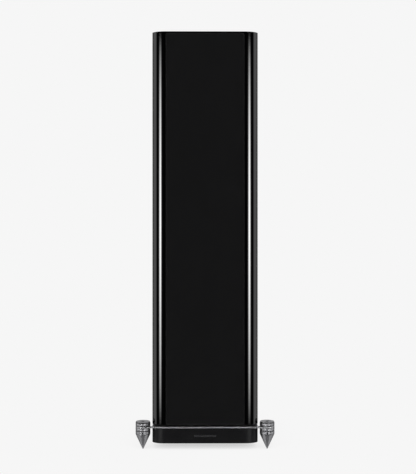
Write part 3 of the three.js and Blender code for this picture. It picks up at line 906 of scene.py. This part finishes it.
def add_grille():
    frame_low, frame_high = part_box("grille_frame")
    bar, bars = 12 * MM, cross_bars()
    skin, fold = 0.5 * MM, 0.6 * MM
    front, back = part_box("grille_cloth")[0].y, frame_high.y - 0.05 * MM
    low, high = (frame_low.x, frame_low.z), (frame_high.x, frame_high.z)
    rests = [frame_low.z + bar / 2, *bars, frame_high.z - bar / 2]

    outline = inset(rounded_rectangle(low, high, 5 * MM, 8), fold)
    ladder = raised("grille_ladder", outline, front + fold, back - fold, (2.2 * MM, 0.6 * MM), "Y")
    windows = []
    for under, over in zip(rests, rests[1:]):
        under += bar / 2
        over -= bar / 2
        opening = rounded_rectangle((low[0] + bar, under), (high[0] - bar, over), 7 * MM, 8)
        windows.append(raised("window", opening, front - 5 * MM, back + 5 * MM, (0, 0), "Y"))
    cut(ladder, *windows)
    finished(ladder, "black_plastic", "grille", "grille_frame")
    bevel = ladder.modifiers.new("soft_edges", "BEVEL")
    bevel.width = 0.5 * MM
    bevel.segments = 2
    bevel.limit_method = "ANGLE"
    bevel.harden_normals = False

    discs = []
    for z in (rests[0], rests[2], rests[4], rests[-1]):
        for x in (low[0] + bar / 2, high[0] - bar / 2):
            discs.append(lathed("magnet_disc", [
                (0, back),
                (4 * MM, back, 0.2),
                (4 * MM, back - 1 * MM),
                (0, back - 1 * MM),
            ], (x, 0, z), closed=False, segments=32))
    finished(joined("grille_magnets", discs), "zinc_steel", "grille")

    def sag(x, z):
        """How far the cloth sinks into a window."""
        across = max(0, 1 - (x / (high[0] - bar)) ** 2)
        for under, over in zip(rests, rests[1:]):
            t = (z - under - bar / 2) / (over - under - bar)
            if 0 < t < 1:
                return 0.45 * MM * across * 4 * t * (1 - t)
        return 0

    def ring(distance, y, sinks=False):
        radius = max(5 * MM - distance, 0.4 * MM)
        x0, z0, x1, z1 = low[0] + distance, low[1] + distance, high[0] - distance, high[1] - distance
        corners = rounded_rectangle((x0, z0), (x1, z1), radius, 5)
        points = []
        for corner in range(4):
            points += corners[6 * corner:6 * corner + 6]
            start, end = corners[6 * corner + 5], corners[(6 * corner + 6) % 24]
            steps = 60 if corner % 2 == 0 else 10
            between = [Vector(start).lerp(Vector(end), k / steps) for k in range(1, steps)]
            points += [tuple(point) for point in between]
        return [(x, y + (sag(x, z) if sinks else 0), z) for x, z in points]

    half = high[0]
    edge = 2.6 * MM
    turns = [math.radians(90 * step / 6) for step in range(7)]

    def layer(depth):
        """The cloth's one side, from the middle of its front round to the hem behind."""
        middle_size = half - 2 * MM
        sizes = [middle_size - (middle_size - edge) * k / 14 for k in range(14)]
        rings = [ring(size, front + depth, True) for size in sizes]
        for t in turns:
            size, level = edge + (depth - edge) * math.sin(t), (edge - depth) * (1 - math.cos(t))
            rings.append(ring(size, front + depth + level))
        rings += [ring(depth, back - 0.8 * MM), ring(depth + 0.4 * MM, back - depth - 0.1 * MM)]
        rings += [ring(10.6 * MM, back - depth)]
        return rings

    builder = bmesh.new()
    outer = [[builder.verts.new(point) for point in points] for points in layer(0)]
    inner = [[builder.verts.new(point) for point in points] for points in layer(skin)]
    bridged(builder, outer + inner[::-1])
    builder.faces.new(outer[0])
    builder.faces.new(inner[0])
    cloth = object_of("grille_knit", builder)
    finished(cloth, "grille_cloth", "grille", "grille_cloth", sharp_degrees=60)


# -------- port and terminals


def add_port():
    low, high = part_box("port_tube")
    centre = (0, high.y, middle("port_tube").z)
    flange, bore, length = radius_of("port_tube"), 34 * MM, high.y - low.y
    mouth = arc(bore + 8 * MM, -16 * MM, 8 * MM, 15.2 * MM, 180, 90, 14)
    tube = lathed("port_flare", [
        (flange, -3 * MM, 0.2),
        (bore + 3 * MM, -3 * MM, 0.3),
        (bore + 3 * MM, -length, 0.8),
        (bore, -length, 0.8),
        *[(radius, y, 0) for radius, y in mouth],
        (bore + 9 * MM, -0.1 * MM, 0.4),
        (bore + 10.5 * MM, 0, 0.2),
        (flange, 0, 0.8),
    ], centre, segments=128)
    finished(tube, "black_plastic", "cabinet", "port_tube")


def add_terminals():
    low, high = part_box("terminal_plate")
    outline = rounded_rectangle((low.x, low.z), (high.x, high.z), 4 * MM, 8)
    plate = raised("terminal_panel", outline, low.y, high.y, (0, 0.7 * MM), "Y")
    cutters, heads = [], []
    for pole in POLES:
        stem = middle(f"terminal_stem_{pole}")
        start = (stem.x, low.y - 5 * MM, stem.z)
        cutters.append(drill(3.8 * MM, 20 * MM, start, segments=48))
    for x in (low.x + 7 * MM, high.x - 7 * MM):
        for z in (low.z + 7 * MM, high.z - 7 * MM):
            cutters.append(screw_seat(Vector((x, high.y, z)), 3 * MM, 1))
            heads.append(screw(Vector((x, high.y - 0.3 * MM, z)), 2.6 * MM, 1, 2 * MM))
    cut(plate, *cutters)
    finished(plate, "black_plastic", "cabinet", "terminal_plate")
    finished(joined("terminal_screws", heads), "zinc_steel", "cabinet")
    for pole in POLES:
        add_terminal(pole, high.y)


def add_terminal(pole, face):
    """A binding post: gold stem with its collar, loose washer, and a fluted knob."""
    low, high = depths_of(f"terminal_stem_{pole}")
    centre = middle(f"terminal_stem_{pole}")
    origin = (centre.x, 0, centre.z)
    collar, stud, bore = radius_of(f"terminal_stem_{pole}"), 3.5 * MM, 3.8 * MM
    stem = lathed(f"{pole}_stem", [
        (0, low),
        (stud, low, 0.6),
        (stud, face + 0.3 * MM, 0.1),
        (collar, face + 0.3 * MM, 0.3),
        (collar, face + 4 * MM, 0.3),
        (stud, face + 4 * MM, 0.1),
        (stud, high, 0.5),
        (0, high),
    ], origin, closed=False, segments=64)
    finished(stem, "gold_plate", "cabinet", f"terminal_stem_{pole}")

    low, high = depths_of(f"terminal_washer_{pole}")
    washer = ring_of(f"{pole}_washer", bore, collar, low, high, (0.2, 0.3, 0.3),
                     origin, segments=64)
    finished(washer, "gold_plate", f"{pole}_washer", f"terminal_washer_{pole}")

    low, high = depths_of(f"terminal_knob_{pole}")
    radius = radius_of(f"terminal_knob_{pole}")
    knob = lathed(f"{pole}_knob", [
        (0, high - 6 * MM),
        (bore, high - 6 * MM, 0.3),
        (bore, low, 0.2),
        (radius, low, 0.4),
        (radius, high, 1.1),
        (2.7 * MM, high, 0.1),
        (2.2 * MM, high - 0.5 * MM, 0.1),
        (2.2 * MM, high - 4 * MM, 0.2),
        (0, high - 4 * MM),
    ], origin, closed=False, segments=192)
    flutes, flute_depth, fade = 16, 0.55 * MM, 1.5 * MM
    for vertex in knob.data.vertices:
        x, z = vertex.co.x - centre.x, vertex.co.z - centre.z
        size = math.hypot(x, z)
        share = max(0, size - radius + fade) / fade
        if share:
            flute = flute_depth * share * max(0, math.cos(flutes * math.atan2(z, x))) ** 0.6
            vertex.co.x = centre.x + x * (1 - flute / size)
            vertex.co.z = centre.z + z * (1 - flute / size)
    finish = "red_plastic" if pole == "positive" else "terminal_black"
    finished(knob, finish, f"{pole}_knob", f"terminal_knob_{pole}")


# -------- studio


def add_floor():
    """A pale floor with no horizon: it glows as white as the backdrop, and is dimmed into a soft shadow
    where the object hides what is above it and in front of it."""
    builder = bmesh.new()
    corners = ((-25, -25), (25, -25), (25, 25), (-25, 25))
    builder.faces.new([builder.verts.new((x, y, -0.2 * MM)) for x, y in corners])
    floor = object_of("floor", builder)
    paint = Paint("paper_floor")
    tilt = paint.add("CombineXYZ", {"Y": -0.6, "Z": 0.8}).outputs["Vector"]
    open_sky = paint.add("AmbientOcclusion", {"Distance": 0.2, "Normal": tilt}).outputs["AO"]
    hidden = paint.calc("POWER", paint.calc("SUBTRACT", 1.0, open_sky), 3.0)
    glow = paint.mapped(hidden, WHITE, 0.32 * WHITE)
    paint.settle(Base_Color=(0, 0, 0, 1), Roughness=1.0, Specular_IOR_Level=0.0,
                 Emission_Color=(1, 1, 1, 1), Emission_Strength=glow)
    floor.data.materials.append(paint.material)
    floor.visible_glossy = False


def add_world():
    """The studio, by what sees it. The camera: plain white. Gloss: two tall soft boxes in front, white
    walls at the sides, a bright ceiling behind. All else: a soft light from everywhere."""
    world = bpy.data.worlds.new("studio")
    bpy.context.scene.world = world
    tree = Tree(world)
    tree.nodes.clear()
    calc = tree.calc

    def smooth(value, start, end, low=0.0, high=1.0):
        return tree.mapped(value, low, high, start, end, "SMOOTHSTEP")

    def chosen(test, otherwise, then):
        inputs = {"Factor": test, "A": otherwise, "B": then}
        return tree.add("Mix", inputs, data_type="FLOAT").outputs["Result"]

    # angles in degrees: signed is round from the front to the right, elevation is above the horizon
    generated = tree.add("TexCoord").outputs["Generated"]
    direction = tree.add("SeparateXYZ", {"Vector": generated})
    x, y, z = (direction.outputs[axis] for axis in "XYZ")
    degrees = 180 / math.pi
    signed = calc("MULTIPLY", calc("ARCTAN2", x, calc("MULTIPLY", y, -1.0)), degrees)
    azimuth = calc("ABSOLUTE", calc("ADD", signed, HEADING))
    from_boxes = calc("ABSOLUTE", calc("ADD", signed, LIGHTS_HEADING))
    elevation = calc("MULTIPLY", calc("ARCSINE", z), degrees)

    # a box stands from 19.6 to 38.8 degrees on each side, and reaches from 12.1 below to 13 above
    box = calc("MULTIPLY", smooth(from_boxes, 19.6, 29.6), smooth(from_boxes, 28.8, 38.8, 1.0, 0.0))
    above = calc("POWER", calc("MAXIMUM", calc("DIVIDE", elevation, 13.0), 0.0), 2.0)
    below = calc("POWER", calc("MAXIMUM", calc("DIVIDE", elevation, -12.1), 0.0), 1.33)
    tall = calc("MAXIMUM", calc("SUBTRACT", calc("SUBTRACT", 1.0, above), below), 0.0)
    boxes = calc("MULTIPLY", calc("MULTIPLY", box, tall), 28.0)
    walls = calc("MULTIPLY", smooth(azimuth, 53.0, 66.0), smooth(azimuth, 74.0, 134.0, 1.55, 0.12))
    rising = smooth(elevation, 12.0, 28.0, 0.0, 1.6)
    falling = smooth(elevation, 45.0, 65.0, 1.0, 0.12)
    ceiling = calc("MULTIPLY", calc("MULTIPLY", rising, falling), smooth(azimuth, 95.0, 150.0))
    ground = smooth(elevation, -14.0, -42.0, 0.0, 0.3)
    surfaces = calc("MAXIMUM", walls, calc("MAXIMUM", ceiling, ground))
    reflected = calc("ADD", calc("ADD", surfaces, boxes), 0.008)
    lighting = smooth(elevation, -60.0, 80.0, 0.7, 1.2)

    path = tree.add("LightPath")
    radiance = chosen(path.outputs["Is Glossy Ray"], lighting, reflected)
    radiance = chosen(path.outputs["Is Camera Ray"], radiance, WHITE)
    background = tree.add("Background", {"Color": (1, 1, 1, 1), "Strength": radiance})
    tree.add("OutputWorld", {"Surface": background.outputs["Background"]})


def add_camera():
    """Level, in front, at about half the cabinet's height, as the photograph was taken."""
    camera = bpy.data.objects.new("camera", bpy.data.cameras.new("camera"))
    camera.data.lens = 66.95
    camera.data.sensor_width = 36
    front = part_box("top_panel")[0].y
    turn, aside, away, height = math.radians(HEADING), 8.2 * MM, 2.5, 0.6046
    camera.location = (aside * math.cos(turn) - away * math.sin(turn),
                       front - aside * math.sin(turn) - away * math.cos(turn), height)
    camera.rotation_euler = (math.radians(90), 0, -turn)
    camera.data.clip_start, camera.data.clip_end = 0.05, 100
    bpy.context.scene.collection.objects.link(camera)
    bpy.context.scene.camera = camera
    bpy.context.scene.view_settings.view_transform = "Standard"


# -------- assembly

add_cabinet()
add_plinth()
for foot in FOOT_NAMES:
    add_foot(foot)
for driver in DRIVER_NAMES:
    add_driver(driver)
add_tweeter()
add_grille()
add_port()
add_terminals()

KEPT = {
    "base_panel": "raw_mdf",
    "midrange_chamber": "raw_mdf",
    "window_brace": "raw_mdf",
    "plinth_spacer": "black_plastic",
    "crossover_board": "circuit_board",
    "crossover_inductor": "copper_wire",
}
for node, finish in KEPT.items():
    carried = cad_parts[node]
    carried.data.materials.clear()
    carried.data.materials.append(MATERIALS[finish])

add_floor()
add_world()
add_camera()
